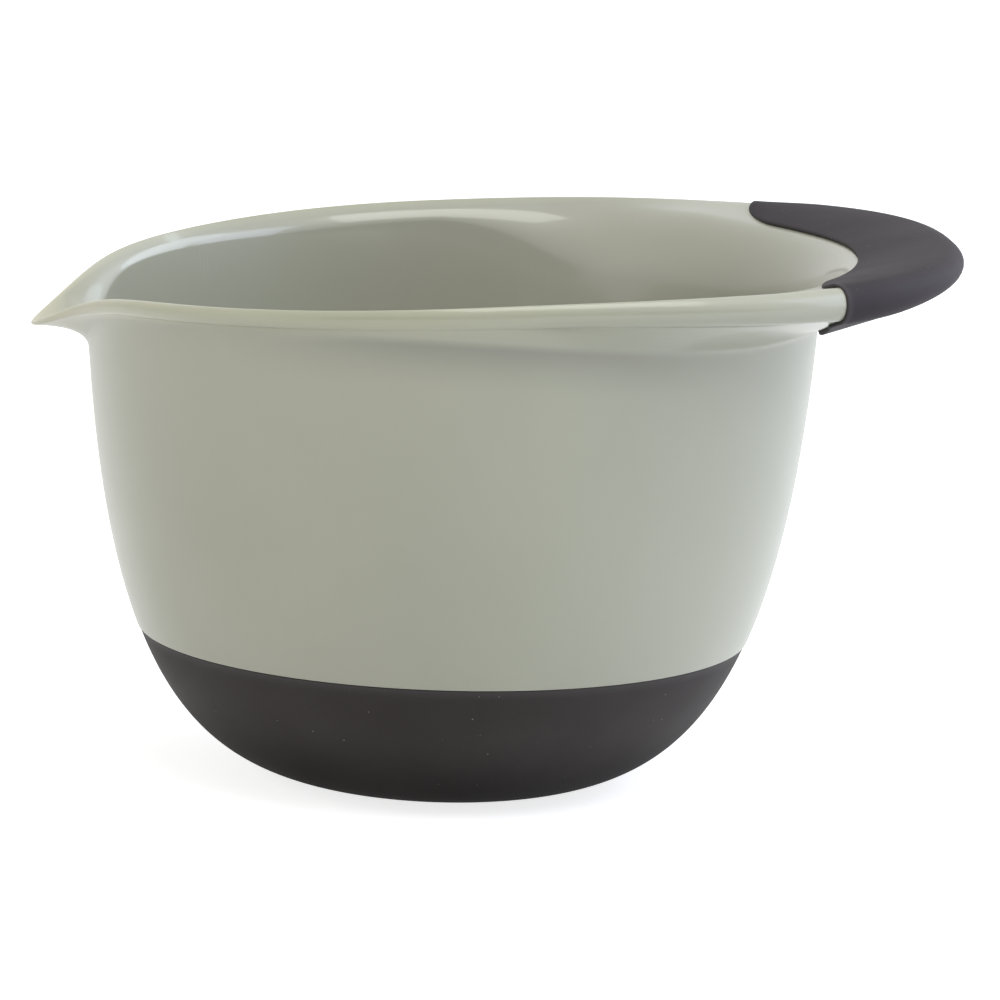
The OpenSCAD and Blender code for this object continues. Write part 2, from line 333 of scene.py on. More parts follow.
# %% Rim rule
SPOUT_FALL, HANDLE_RISE, HANDLE_LIFT, BEAD_H, BEAD_W, CREASE_DROP = 8.3, 3.8, 1.9, 4.4, 1.55, 9.0
HANDLE_REACH, GRIP_BEAD_H, HANDLE_BEAD_H, HANDLE_BEAD_W = 29.7, 8.5, 4.6, 4.1
HANDLE_DROP, SHOULDER_W, GRIP_HALF, GRIP_T, GRIP_UNDER_T = 13.6, 8.7, math.radians(40), 0.9, 1.4
SPOUT_REACH, SPOUT_DIP, SPOUT_HALF = 12.5, 10.4, math.radians(60)
LIP_T, LIP_W, SPOUT_ROOT = 1.0, 0.8, 6.2
CREASE_LEAST, CREST_ROUND, SIDE_TOP_W, SPOUT_SHOULDER_W = 2.0, 0.8, 2.0, 3.0
HANDLE_POWER, BEAD_POWER, EDGE_POWER, SPOUT_POWER, BEAD_CORNER = 2.52, 2.5, 1.25, 4.65, 2.0
SPOUT_DIP_POWER, SPOUT_REACH_POWER, LIFT_START_SHARE = 1.15, 1.55, 0.74
SPOUT_TIP_SHARE, HANDLE_SLOPE, SIDE_SLOPE, SPOUT_SLOPE = 0.06, 0.19, 0.9, -0.13
RIM_TURN, TURN_START, TURN_RAMP = 0.9, -0.87, 0.53
SIDE_GAP, SIDE_RAMP = 0.05, 0.4
SKIRT_OUT, SKIRT_EASE, SKIRT_POWER = 1.6, 7.0, 2.5
SKIRT_START, SKIRT_RAMP, SKIRT_END, SKIRT_FADE = -0.75, 0.6, 0.35, 0.42
CREASE_START_SHARE, CREASE_SPAN_SHARE, BEAD_MIDDLE_SHARE = 0.2, 1.05, 0.5

CREST_R = float(wall_radius(RIM_H))
HANDLE_X = CREST_R + HANDLE_REACH
RIM_BOW = (HANDLE_RISE / HANDLE_X - SPOUT_FALL / CREST_R) / (HANDLE_X + CREST_R)
RIM_TILT = HANDLE_RISE / HANDLE_X - RIM_BOW * HANDLE_X


def spout_share(a):
    """1 at the spout's tip, falling to 0 at its sides."""
    u = np.minimum(np.abs(math.pi - np.abs(a)) / SPOUT_HALF, 1)
    e = SPOUT_TIP_SHARE
    h = (np.sqrt(u * u + e * e) - e) / (math.sqrt(1 + e * e) - e)
    return np.maximum(1 - h, 0) ** SPOUT_POWER


def outline_radius(a):
    c = np.maximum(np.cos(a), 0) / HANDLE_X
    s = np.abs(np.sin(a)) / CREST_R
    long_half = (c ** HANDLE_POWER + s ** HANDLE_POWER) ** (-1 / HANDLE_POWER)
    return np.where(np.cos(a) < 0, CREST_R, long_half)


def crest(a):
    s = spout_share(a)
    r = outline_radius(a) + SPOUT_REACH * s ** SPOUT_REACH_POWER
    x = r * np.cos(a)
    start = CREST_R * LIFT_START_SHARE
    lift = HANDLE_LIFT * (np.maximum(x - start, 0) / (HANDLE_X - start)) ** 2
    z = RIM_H + RIM_TILT * x + RIM_BOW * x * x + lift - SPOUT_DIP * s ** SPOUT_DIP_POWER
    return np.stack([r, z], -1)


def bead_height(a):
    c, g = np.cos(a), math.cos(GRIP_HALF)
    side = mix(BEAD_H, GRIP_BEAD_H, ((1 + np.minimum(c, g)) / (1 + g)) ** BEAD_POWER)
    tip = np.maximum((c - g) / (1 - g), 0) ** EDGE_POWER
    return mix(side, HANDLE_BEAD_H, tip)


def bead_low(a):
    p = crest(a)
    z = p[:, 1] - mix(bead_height(a), LIP_T, spout_share(a))
    return np.stack([np.maximum(p[:, 0], wall_radius(z) + BOND + skirt(a)), z], -1)


def side_share(a):
    """1 along the sides, 0 at the spout's tip and beside the grip."""
    return (1 - spout_share(a)) * smooth((math.cos(GRIP_HALF) - SIDE_GAP - np.cos(a)) / SIDE_RAMP)


def bead_out(a):
    p = crest(a)
    swell = mix(BEAD_W, HANDLE_BEAD_W, ((1 + np.cos(a)) / 2) ** BEAD_POWER)
    return np.stack([p[:, 0] + mix(swell, LIP_W, spout_share(a)),
                     mix(p[:, 1], bead_low(a)[:, 1], BEAD_MIDDLE_SHARE)], -1)


def skirt(a):
    """How far the band under the bead stands out from the wall along the sides."""
    c = np.cos(a)
    return SKIRT_OUT * smooth((c - SKIRT_START) / SKIRT_RAMP) * (1 - smooth((c - SKIRT_END) / SKIRT_FADE))


def crease(a):
    fall = smooth((np.cos(a) + CREASE_START_SHARE) / CREASE_SPAN_SHARE)
    z = np.minimum(RIM_H - mix(CREASE_DROP, HANDLE_DROP, fall),
                   bead_low(a)[:, 1] - mix(CREASE_LEAST, SPOUT_ROOT, spout_share(a)))
    return np.stack([wall_radius(z) + skirt(a), z], -1)


def rim_edge(a):
    """Top edge of the rim, which lies a little outside the crest's line along the sides."""
    p = crest(a)
    turn = RIM_TURN * side_share(a) * smooth((np.cos(a) - TURN_START) / TURN_RAMP)
    return np.stack([p[:, 0] + turn, p[:, 1]], -1)


def top_slope(a):
    return mix(mix(HANDLE_SLOPE, SIDE_SLOPE, side_share(a)), SPOUT_SLOPE, spout_share(a))


def knee(a):
    """Inner edge of the rim's top, where the shoulder starts."""
    p = rim_edge(a)
    r = np.minimum(p[:, 0] - mix(CREST_ROUND, SIDE_TOP_W, side_share(a)),
                   CREST_R + mix(SHOULDER_W, SPOUT_SHOULDER_W, spout_share(a)))
    return np.stack([r, p[:, 1] - top_slope(a) * (p[:, 0] - r)], -1)


def arc(p, c, q, t):
    """Points at the shares t of an arc from p to q that is drawn towards c."""
    p, c, q = (v[:, None, :] for v in (p, c, q))
    t = np.broadcast_to(t, (p.shape[0], np.shape(t)[-1]))[..., None]
    return p * (1 - t) ** 2 + c * 2 * t * (1 - t) + q * t * t


def underside(a, t):
    p, q = crease(a), bead_low(a)
    c = mix((p + q) / 2, np.stack([p[:, 0], q[:, 1]], -1), spout_share(a)[:, None])
    return arc(p, c, q, t)


def bead(a, rows):
    """The bead from its lower edge out to its widest point and up to the crest."""
    low, out, top = (v[:, None, :] for v in (bead_low(a), bead_out(a), rim_edge(a)))
    t = np.linspace(0, math.pi / 2, rows + 1)[1:]
    c, s = np.cos(t).clip(0) ** (2 / BEAD_CORNER), np.sin(t) ** (2 / BEAD_CORNER)
    rising = np.stack([mix(low[..., 0], out[..., 0], s), mix(out[..., 1], low[..., 1], c)], -1)
    falling = np.stack([mix(top[..., 0], out[..., 0], c), mix(out[..., 1], top[..., 1], s)], -1)
    return np.concatenate([rising, falling], 1)


print("handle ends", round(HANDLE_X + HANDLE_BEAD_W, 1), "mm from the axis")

# %% [markdown]
# ## Turning a section into a skin
# A screw modifier would turn one profile, but here the section changes with the angle. So the
# mesh is woven by hand: one column of points for each angle, and a quad between each pair of
# neighbours. A point on the axis closes the bottom and the floor.

# %% Weaving helpers
def place(section, angle):
    """Columns of radius and height, set round the axis in metres."""
    r, z = section[..., 0], section[..., 1]
    return np.stack([r * np.cos(angle), r * np.sin(angle), z], -1) * MM


def weave(columns, rows, closed_round, closed_section):
    """Quads between neighbouring columns and rows."""
    i = np.arange(columns if closed_round else columns - 1)[:, None]
    j = np.arange(rows if closed_section else rows - 1)[None, :]
    n, m = (i + 1) % columns, (j + 1) % rows
    quads = np.stack([i * rows + j, n * rows + j, n * rows + m, i * rows + m], -1)
    return quads.reshape(-1, 4).tolist()


def piece(name, points, faces, **marks):
    """A smooth mesh object, with a number for each point under each mark's name."""
    mesh = bpy.data.meshes.new(name)
    mesh.from_pydata(points.tolist(), [], faces)
    for mark, values in marks.items():
        layer = mesh.attributes.new(mark, "FLOAT", "POINT")
        layer.data.foreach_set("value", np.asarray(values, np.float32))
    mesh.shade_smooth()
    mesh.validate()
    obj = bpy.data.objects.new(name, mesh)
    bpy.context.collection.objects.link(obj)
    print(name, len(mesh.vertices), "points,", len(mesh.polygons), "faces")
    return obj


def turned(name, section, a, **marks):
    """A closed piece through sections round the axis, with a point on the axis at both ends."""
    columns, rows = section.shape[:2]
    ends = np.array([[0, 0, section[0, 0, 1]], [0, 0, section[0, -1, 1]]]) * MM
    points = np.concatenate([place(section, a[:, None]).reshape(-1, 3), ends])
    faces = weave(columns, rows, True, False)
    low, high = columns * rows, columns * rows + 1
    for i in range(columns):
        n = (i + 1) % columns
        faces.append((low, n * rows, i * rows))
        faces.append((high, (i + 1) * rows - 1, (n + 1) * rows - 1))
    marks = {k: np.append(np.asarray(v).reshape(-1), [v[0, 0], v[0, -1]]) for k, v in marks.items()}
    return piece(name, points, faces, **marks)


print("weaving helpers ready")

# %% [markdown]
# ## The hard bowl
# The moulding has no sharp edge. Its lower edge at the seam is rounded by half a millimetre, which
# is why a pale line runs along the seam. The crease under the rim is a soft bend. Inside, the rim
# goes over in a quick roll and then a slow flare down to the plain wall. The section goes from
# under the base up the outside, over the rim and down the inside. Columns stand closer at the
# spout's tip, where the lip turns quickest, and rows stand closer at the ledge under the rim.

# %% Bowl section
SEAM_ROUND, CREASE_ROUND, SKIRT_ROUND, FLOOR_EASE = 0.5, 2.2, 1.2, 1.2
FLARE_SHARE, FLARE_MORE, ROLL_TALL = 0.15, 0.2, (1.7, 1.0)
FLARE_LEAST, FLARE_SLOPE, SPOUT_FLARE = 17.6, 0.97, 14.0
SIDE_COLUMNS, GRIP_COLUMNS, SPOUT_COLUMNS, TIP_POWER = 90, 50, 70, 1.35
DISC_ROWS, CORE_ROWS, STEP_ROWS, CORNER_ROWS = 6, 24, 4, 6
WALL_ROWS, LEDGE_ROWS, BEND_ROWS, UNDER_ROWS, BEAD_ROWS, TOP_ROWS = 44, 16, 10, 16, 12, 8
ROLL_ROWS, FLARE_ROWS, INNER_ROWS = 24, 16, 60
INNER_OVER, INNER_STEPS = 12, 400
half_turn = np.concatenate([
    np.linspace(0, GRIP_HALF, GRIP_COLUMNS, endpoint=False),
    np.linspace(GRIP_HALF, math.pi - SPOUT_HALF, SIDE_COLUMNS, endpoint=False),
    math.pi - SPOUT_HALF * (1 - np.linspace(0, 1, SPOUT_COLUMNS)) ** TIP_POWER])
ROUND = np.concatenate([half_turn, 2 * math.pi - half_turn[-2:0:-1]])


def shares(rows, first=False):
    """Even shares up to 1, with or without the 0."""
    t = np.linspace(0, 1, rows + 1)
    return t if first else t[1:]


INNER_TURNS = np.linspace(float(wall_turn(0.0)), float(wall_turn(RIM_H + INNER_OVER)), INNER_STEPS)
INNER = wall_point(INNER_TURNS, -thickness(INNER_TURNS))


def shoulder(a):
    """The inside from the rim's top down to the plain wall: a quick roll, then a slow flare."""
    k = knee(a)
    wide = k[:, 0] - np.interp(k[:, 1], INNER[:, 1], INNER[:, 0])
    flare = FLARE_SHARE * wide + FLARE_MORE
    tallness = mix(*ROLL_TALL, side_share(a))
    start = np.arctan(top_slope(a) / tallness)[:, None]
    tall = (tallness * (wide - flare))[:, None] / (1 - np.sin(start))
    turn = mix(start, math.pi / 2, shares(ROLL_ROWS))
    rolled = tall * (np.cos(start) - np.cos(turn))
    deep = mix(FLARE_LEAST + FLARE_SLOPE * wide, SPOUT_FLARE, spout_share(a))[:, None]
    deep = np.maximum(deep, rolled[:, -1:] + 1)
    fall = np.concatenate([rolled, mix(rolled[:, -1:], deep, shares(FLARE_ROWS))], 1)
    left = np.concatenate([(1 - np.sin(turn)) / (1 - np.sin(start)), 0 * fall[:, :FLARE_ROWS]], 1)
    out = flare[:, None] * (1 - fall / deep) ** 2 + (wide - flare)[:, None] * left
    z = k[:, 1:] - fall
    return np.stack([np.interp(z, INNER[:, 1], INNER[:, 0]) + out, z], -1)


def bowl_section(a):
    """The parts of the section at each angle, in order from under the base to the inside's middle."""
    foot, seam = float(wall_turn(0.0)), float(wall_turn(SEAM_Z))
    foot_r = float(wall_radius(0.0))
    in_disc = shares(DISC_ROWS)[:-1]
    disc = np.stack([foot_r * in_disc, 0 * in_disc + SKIN_T + BOND], -1)
    core = wall_point(mix(foot, seam, shares(CORE_ROWS, True)), -CORE_IN)
    core = above_floor(core, SKIN_T + BOND, FLOOR_EASE / 2)
    step = wall_point(seam + 0 * shares(STEP_ROWS), mix(-CORE_IN, -SEAM_ROUND, shares(STEP_ROWS)))
    corner_tip = wall_point(np.array([seam]), 0)
    corner_end = wall_point(np.array([float(wall_turn(SEAM_Z + SEAM_ROUND))]), 0)
    corner = arc(step[-1:], corner_tip, corner_end, shares(CORNER_ROWS))[0]
    fixed = np.concatenate([disc, core, step, corner])
    fixed = np.broadcast_to(fixed, (len(a), *fixed.shape))
    low, lip = crease(a), bead_low(a)
    soft = mix(CREASE_ROUND, SKIRT_ROUND, skirt(a) / SKIRT_OUT)
    reach = np.minimum(soft / np.linalg.norm(lip - low, axis=1), 0.5)
    start_z = low[:, 1] - soft
    ease_z = low[:, 1:] - SKIRT_EASE
    wall_z = np.concatenate([mix(SEAM_Z + SEAM_ROUND, ease_z, shares(WALL_ROWS)),
                             mix(ease_z, start_z[:, None], shares(LEDGE_ROWS))], 1)
    near = np.maximum(1 - (low[:, 1:] - wall_z) / SKIRT_EASE, 0)
    wall = np.stack([wall_radius(wall_z) + skirt(a)[:, None] * near ** SKIRT_POWER, wall_z], -1)
    rise = underside(a, reach[:, None])[:, 0]
    bend = arc(wall[:, -1], low, rise, shares(BEND_ROWS))
    under = underside(a, mix(reach[:, None], 1, shares(UNDER_ROWS)))
    top = mix(rim_edge(a)[:, None, :], knee(a)[:, None, :], shares(TOP_ROWS)[None, :, None])
    inside = shoulder(a)
    turns = mix(np.interp(inside[:, -1:, 1], INNER[:, 1], INNER_TURNS), foot, shares(INNER_ROWS))
    inner = above_floor(wall_point(turns, -thickness(turns)), FLOOR_Z, FLOOR_EASE)
    floor_disc = inner[:, -1:, :] * np.stack([1 - in_disc, 1 + 0 * in_disc], -1)[None]
    return {"fixed": fixed, "wall": wall, "bend": bend, "under": under, "bead": bead(a, BEAD_ROWS),
            "top": top, "shoulder": inside, "inner": inner, "floor": floor_disc}


parts = bowl_section(ROUND)
section = np.concatenate(list(parts.values()), 1)
counts = {k: v.shape[1] for k, v in parts.items()}
print("rows of the section:", counts)

# %% [markdown]
# ## Marks for the finish
# One moulding has one colour, but its parts look different: the inside is glossy, the rim is
# polished by hands and the thin lip lets light through. Light and shade are also painted into the
# colour: a warm tint on the rim, a darker inside, and a band of painted shade under the ledge.
# Painting masks by hand would break when the shape changes, so each point carries a number for
# each of these, worked out from its place in the section.

# %% Bowl marks and mesh
LEDGE_SHADE_DEEP, RIM_GLOSS, TOP_INSIDE, SPOUT_SPREAD, RIM_LIGHT_TINT_END = 11.0, 0.6, 0.4, 0.5, 0.75
HANDLE_DULL, DULL_START, DULL_RAMP = 0.6, 0.5, 0.4


def along(**ends):
    """A mark that runs between two values over each named part of the section."""
    steps = [np.linspace(*ends.get(k, (0, 0)), n) for k, n in counts.items()]
    return np.broadcast_to(np.concatenate(steps), section.shape[:2])


inside_mark = along(top=(TOP_INSIDE, 1), shoulder=(1, 1), inner=(1, 1), floor=(1, 1))
rim_mark = along(under=(0, 1), bead=(1, 1), top=(1, 1), shoulder=(1, 0))
spout_mark = np.broadcast_to(spout_share(ROUND)[:, None] ** SPOUT_SPREAD, section.shape[:2])
# painted light: a warm tint on the rim for light coming through it, fading out towards the handle
warm_mark = rim_mark * smooth(RIM_LIGHT_TINT_END - np.cos(ROUND))[:, None]
# painted shade: the wall under the ledge is darkened, most at the ledge and fading out over 11 mm below it,
# only where the band stands out
below = np.clip(1 - (crease(ROUND)[:, 1:] - section[..., 1]) / LEDGE_SHADE_DEEP, 0, 1)
film_mark = below * (skirt(ROUND) / SKIRT_OUT)[:, None] * along(wall=(1, 1), bend=(1, 0))
glossy = np.maximum(inside_mark, RIM_GLOSS * rim_mark) * (1 - spout_mark)
coat_mark = glossy * (1 - HANDLE_DULL * smooth((np.cos(ROUND) - DULL_START) / DULL_RAMP))[:, None]
bowl = turned("bowl_moulding", section, ROUND, inside=inside_mark, rim=rim_mark, spout=spout_mark,
              warm=warm_mark, coat=coat_mark, film=film_mark)

# %% [markdown]
# ## The soft base
# The base is the same all round, so one profile is turned. Its face lies a quarter of a millimetre
# below the wall's face, its upper edge is a little rounded, and its middle is a flat foot. Two marks
# go with it: where its edge is rubbed, and how near a point is to the foot, which darkens it there
# as painted shade.

# %% Base
SKIN_ROUND, FOOT_EASE = 0.3, 0.6
BASE_COLUMNS = 320
BASE_RUB_TALL, LOW_START, LOW_TALL = 1.5, 3, 24


def base_profile():
    foot, seam = float(wall_turn(0.0)), float(wall_turn(SEAM_Z - BOND))
    round_turn = float(wall_turn(SEAM_Z - BOND - SKIN_ROUND))
    foot_r = float(wall_radius(0.0)) - SEAM_STEP
    disc = np.stack([foot_r * shares(8), 0 * shares(8)], -1)
    outer = wall_point(mix(foot, round_turn, shares(60)), -SEAM_STEP)
    outer = above_floor(outer, 0, FOOT_EASE)
    outer[:, 1] -= above_floor(outer[:1] * [1, 0], 0, FOOT_EASE)[0, 1] * (1 - shares(60)) ** 4
    tip = wall_point(np.array([seam]), -SEAM_STEP - SKIN_ROUND)
    top = arc(outer[-1:], wall_point(np.array([seam]), -SEAM_STEP), tip, shares(6))[0]
    across = wall_point(seam + 0 * shares(3), mix(-SEAM_STEP - SKIN_ROUND, -SKIN_IN, shares(3)))
    inner = above_floor(wall_point(mix(seam, foot, shares(24)), -SKIN_IN), SKIN_T, FLOOR_EASE / 2)
    back_disc = inner[-1] * np.stack([1 - shares(6)[:-1], 1 + 0 * shares(6)[:-1]], -1)
    return np.concatenate([disc, outer, top, across, inner, back_disc])


profile = base_profile()
base_round = np.linspace(0, 2 * math.pi, BASE_COLUMNS, endpoint=False)
base_edge = np.exp(-((profile[:, 1] - SEAM_Z) / BASE_RUB_TALL) ** 2)
# painted shade: 1 at the foot, where the base is coloured darker, fading out higher up
base_foot_shade = 1 - smooth((profile[:, 1] - LOW_START) / LOW_TALL)
base = turned("base_skin_soft", np.broadcast_to(profile, (BASE_COLUMNS, *profile.shape)), base_round,
              edge=np.broadcast_to(base_edge, (BASE_COLUMNS, len(profile))),
              low=np.broadcast_to(base_foot_shade, (BASE_COLUMNS, len(profile))))

# %% [markdown]
# ## The soft grip
# The grip wraps the crescent handle: from the wall under the handle, round its edge and over its
# top to an inner edge that runs round the bowl. The path of each section follows the hard handle.
# It is smoothed, because soft material fills the corner under the bead, and then thickened. The
# top is slightly domed and thins towards both ends. The thickness runs out in a small round at
# every edge, as it does where such a grip leaves its mould.

# %% Grip paths
GRIP_START_SHARES, GRIP_START_POWER = (0.04, 0.86), 5
GRIP_CORNER_SHARES = (0.76, 0.8)
GRIP_LEAN, GRIP_LEAN_POWER = 0.27, 3
GRIP_SOFTEN, EDGE_ROUND, GRIP_DOME = 0.7, 0.4, 0.9
GRIP_END = math.radians(41.4)
END_THIN, END_THIN_START, END_RUB_WIDE = 0.4, 0.75, 3
UNDER_STEPS, BEAD_STEPS, TOP_STEPS = 40, 16, 30
GRIP_ROWS, EDGE_ROWS, GRIP_SIDE = 110, 6, 60
PATH_STEPS = 240


def handle_points(turns, start, share):
    """Points of the handle's surface from its underside to its top, each at an angle of its own."""
    n, m = UNDER_STEPS + 1, UNDER_STEPS + 1 + 2 * BEAD_STEPS
    own = np.arange(2 * BEAD_STEPS)
    under = underside(turns[:n], mix(start, 1, shares(UNDER_STEPS, True))[:, None])[:, 0]
    rounding = bead(turns[n:m], BEAD_STEPS)[own, own]
    top = mix(crest(turns[m:]), knee(turns[m:]), share * shares(TOP_STEPS)[:, None])
    return np.concatenate([under, rounding, top])


def grip_path(a):
    """Radius, height, angle and thickness along one column of the grip."""
    w = abs(a) / GRIP_END
    start = mix(*GRIP_START_SHARES, w ** GRIP_START_POWER)
    u = max(w - GRIP_CORNER_SHARES[0], 0) / (1 - GRIP_CORNER_SHARES[0])
    share = 1 - GRIP_CORNER_SHARES[1] * (1 - math.sqrt(max(1 - u * u, 0)))
    row = np.arange(UNDER_STEPS + 1 + 2 * BEAD_STEPS + TOP_STEPS)
    upright = handle_points(np.full(len(row), a), start, share)
    lean = np.sign(a) * GRIP_LEAN * w ** GRIP_LEAN_POWER
    inwards = bead_out(np.array([a]))[0, 0] - upright[:, 0]
    turns = a - lean * inwards / upright[:, 0]
    thick = mix(GRIP_UNDER_T, GRIP_T, smooth((row - UNDER_STEPS) / (2 * BEAD_STEPS)))
    across = np.clip((row - UNDER_STEPS - 2 * BEAD_STEPS) / TOP_STEPS, 0, 1)
    thick = thick + GRIP_DOME * 4 * across * (1 - across)
    thick = thick * (1 - END_THIN * smooth((w - END_THIN_START) / (1 - END_THIN_START)))
    return np.column_stack([handle_points(turns, start, share), turns, thick])


def evenly(path, steps):
    """The path's values at the given shares of its length, and its length."""
    run = np.append(0, np.cumsum(np.linalg.norm(np.diff(path[:, :2], axis=0), axis=1)))
    return np.stack([np.interp(steps * run[-1], run, v) for v in path.T], -1), run[-1]


def softened(path, reach):
    """The path with its corners eased over about the given reach, its ends kept."""
    even, length = evenly(path, np.linspace(0, 1, PATH_STEPS))
    pad = np.arange(1, PATH_STEPS // 4)[:, None]
    before = even[0] + (even[0] - even[1]) * pad[::-1]
    after = even[-1] + (even[-1] - even[-2]) * pad
    apart = np.arange(-len(pad), len(pad) + 1) * length / (PATH_STEPS - 1)
    weights = np.exp(-(apart / reach) ** 2 / 2)
    long_path = np.concatenate([before, even, after])
    return np.stack([np.convolve(v, weights / weights.sum(), "valid") for v in long_path.T], -1)


def grip_section(a, thin):
    """Outer face from the wall round to the inner edge, then the inner face back again."""
    path = softened(grip_path(a), GRIP_SOFTEN)
    length = evenly(path, np.array([0.0]))[1]
    near = EDGE_ROUND * (1 - np.cos(np.linspace(0, math.pi / 2, EDGE_ROWS))) / length
    steps = np.concatenate([near, np.linspace(near[-1], 1 - near[-1], GRIP_ROWS)[1:-1], 1 - near[::-1]])
    points, length = evenly(path, steps)
    slope = np.gradient(points[:, :2], steps, axis=0)
    slope /= np.linalg.norm(slope, axis=1)[:, None]
    square = np.stack([slope[:, 1], -slope[:, 0], 0 * steps], -1)
    left = np.clip(np.minimum(steps, 1 - steps) * length / EDGE_ROUND, 0, 1)
    rounded = EDGE_ROUND * (1 - np.sqrt(1 - (1 - left) ** 2))
    thick = points[:, 3] - np.maximum(rounded, thin)
    outer = points[:, :3] + square * (BOND + thick)[:, None]
    inner = points[:, :3] + square * BOND
    return np.concatenate([outer, inner[::-1]]), left


print("grip reaches", round(math.degrees(GRIP_END), 1), "degrees to each side")

# %% Grip mesh
end_step = EDGE_ROUND / float(crest(np.array([GRIP_END]))[0, 0])
end_turns = np.linspace(0, math.pi / 2, EDGE_ROWS)
end_angles = GRIP_END - end_step * (1 - np.sin(end_turns))
end_thin = EDGE_ROUND * (1 - np.cos(end_turns))
middle = (GRIP_END - end_step) * np.sin(np.linspace(0, math.pi / 2, GRIP_SIDE))[:-1]
half_angles = np.append(middle, end_angles)
half_thin = np.append(0 * middle, end_thin)
grip_angles = np.concatenate([-half_angles[:0:-1], half_angles])
grip_thin = np.concatenate([half_thin[:0:-1], half_thin])
made = [grip_section(a, t) for a, t in zip(grip_angles, grip_thin)]
grip_rings = np.stack([ring for ring, left in made])
columns, ring_rows = grip_rings.shape[:2]
half_ring = ring_rows // 2
grip_faces = weave(columns, ring_rows, False, True)
last = (columns - 1) * ring_rows
for j in range(half_ring - 1):
    cap = [j, j + 1, ring_rows - 2 - j, ring_rows - 1 - j]
    grip_faces.append(tuple(cap))
    grip_faces.append(tuple(last + k for k in reversed(cap)))
side_edge = np.exp(-((GRIP_END - np.abs(grip_angles)) / end_step / END_RUB_WIDE) ** 2)
path_edge = np.stack([np.concatenate([1 - left, (1 - left)[::-1]]) for ring, left in made])
grip_edge = np.maximum(path_edge, side_edge[:, None])
grip = piece("handle_grip_soft", place(grip_rings, grip_rings[..., 2]).reshape(-1, 3), grip_faces,
             edge=grip_edge.reshape(-1))

# %% [markdown]
# ## The moulded plastic
# The bowl is polypropylene: satin outside, where the mould was lightly blasted, and glossy inside
# and on the rim. The gloss could be a lower roughness, but a line would show where the roughness
# changes, so it is a clear coat that fades in over one satin ground. The colour is a pale sage, a
# little uneven where the plastic flowed. Painted shade makes it deeper inside and darker under the
# ledge, and a painted warm tint on the rim stands for light coming through it. The thin lip lets
# light through, so it looks paler and warmer. The inside carries fine upright scratches from
# whisks and spoons. Noise is enough for all of it: no picture is used.

# %% Plastic finish
SAGE, SAGE_DEEP = (0.385, 0.389, 0.311, 1), (0.360, 0.366, 0.291, 1)
SAGE_RIM_LIGHT_TINT, SAGE_WARM = (0.385, 0.389, 0.282, 1), (0.540, 0.520, 0.400, 1)
SAGE_INSIDE_SHADE, SAGE_LEDGE_SHADE = (0.325, 0.328, 0.265, 1), (0.255, 0.257, 0.218, 1)
SCRATCH_PALE = (0.50, 0.51, 0.45, 1)
FLOW, HAZE, PLASTIC_GRAIN, SCRATCHED = (16, 3), (70, 4), (1500, 2), (25, 1)
SCRATCH_FINE, SCRATCH_LONG = 230, 70
PLASTIC_ROUGH, COAT_MOST = 0.315, 0.95


def principled(finish, **sockets):
    """The surface shader of a finish, wired to its output."""
    named = {k.replace("_", " "): v for k, v in sockets.items()}
    shader = finish.add("ShaderNodeBsdfPrincipled", None, named)
    finish.add("ShaderNodeOutputMaterial", None, {"Surface": shader})
    return shader


def mark(finish, name):
    """The number that each point carries under a mark's name, or 0 where the mesh has none."""
    return finish.add("ShaderNodeAttribute", {"attribute_name": name}, None, "Fac")


def axes(finish):
    """The place on the object, and its x, y and z in metres."""
    spot = finish.add("ShaderNodeTexCoord", None, None, "Object")
    return (spot, *finish.add("ShaderNodeSeparateXYZ", None, {0: spot}, (0, 1, 2)))


def plastic_finish():
    f = Finish(bpy.data.materials.new("sage_polypropylene"))
    spot, x, y, z = axes(f)
    inside, rim, spout, warm = (mark(f, n) for n in ("inside", "rim", "spout", "warm"))
    turn = x.math("ARCTAN2", y, x)
    flow, haze, grain = (f.noise(spot, *n) for n in (FLOW, HAZE, PLASTIC_GRAIN))
    lines = f.add("ShaderNodeCombineXYZ", None, {0: turn * SCRATCH_FINE, 1: z * SCRATCH_LONG, 2: 0.0})
    scratch = f.noise(lines, 1, 1).between(0.70, 0.76) * inside
    scratch = scratch * f.noise(spot, *SCRATCHED).between(0.48, 0.62)
    colour = f.blend(flow.between(0.3, 0.7), SAGE_DEEP, SAGE)
    # painted shade: the inside of the bowl is coloured darker
    colour = f.blend(inside * 0.9, colour, SAGE_INSIDE_SHADE)
    # painted shade under the ledge, which deepens the dark line that the ledge throws
    colour = f.blend(mark(f, "film") * 0.7, colour, SAGE_LEDGE_SHADE)
    # painted light: the rim is tinted warmer for light coming through it
    colour = f.blend(warm * (1 - inside) * 0.9, colour, SAGE_RIM_LIGHT_TINT)
    colour = f.blend(rim * spout * (1 - inside * 0.8), colour, SAGE_WARM)
    colour = f.blend(scratch * 0.35, colour, SCRATCH_PALE)
    rough = PLASTIC_ROUGH + (haze - 0.5) * 0.05 + scratch * 0.2
    height = grain * (1 - inside * 0.8) + scratch * 0.5
    bump = f.add("ShaderNodeBump", None, {"Strength": 0.06, "Distance": 0.1 * MM, "Height": height})
    principled(f, Base_Color=colour, Roughness=rough, Normal=bump, IOR=1.52,
               Coat_Weight=mark(f, "coat") * COAT_MOST, Coat_Roughness=0.06, Coat_IOR=1.5)
    return f.owner


print("plastic recipe ready")

# %% [markdown]
# ## The soft rubber
# Base and grip are a thermoplastic rubber, dark and warm grey, with a fine blasted texture. Such a
# skin picks up dust, shows paler rubbed edges and small grey scuffs, and is a little more worn on
# the grip than on the base. The base is duller towards its foot and is darkened there as painted
# shade. The two share one recipe with a few different numbers.

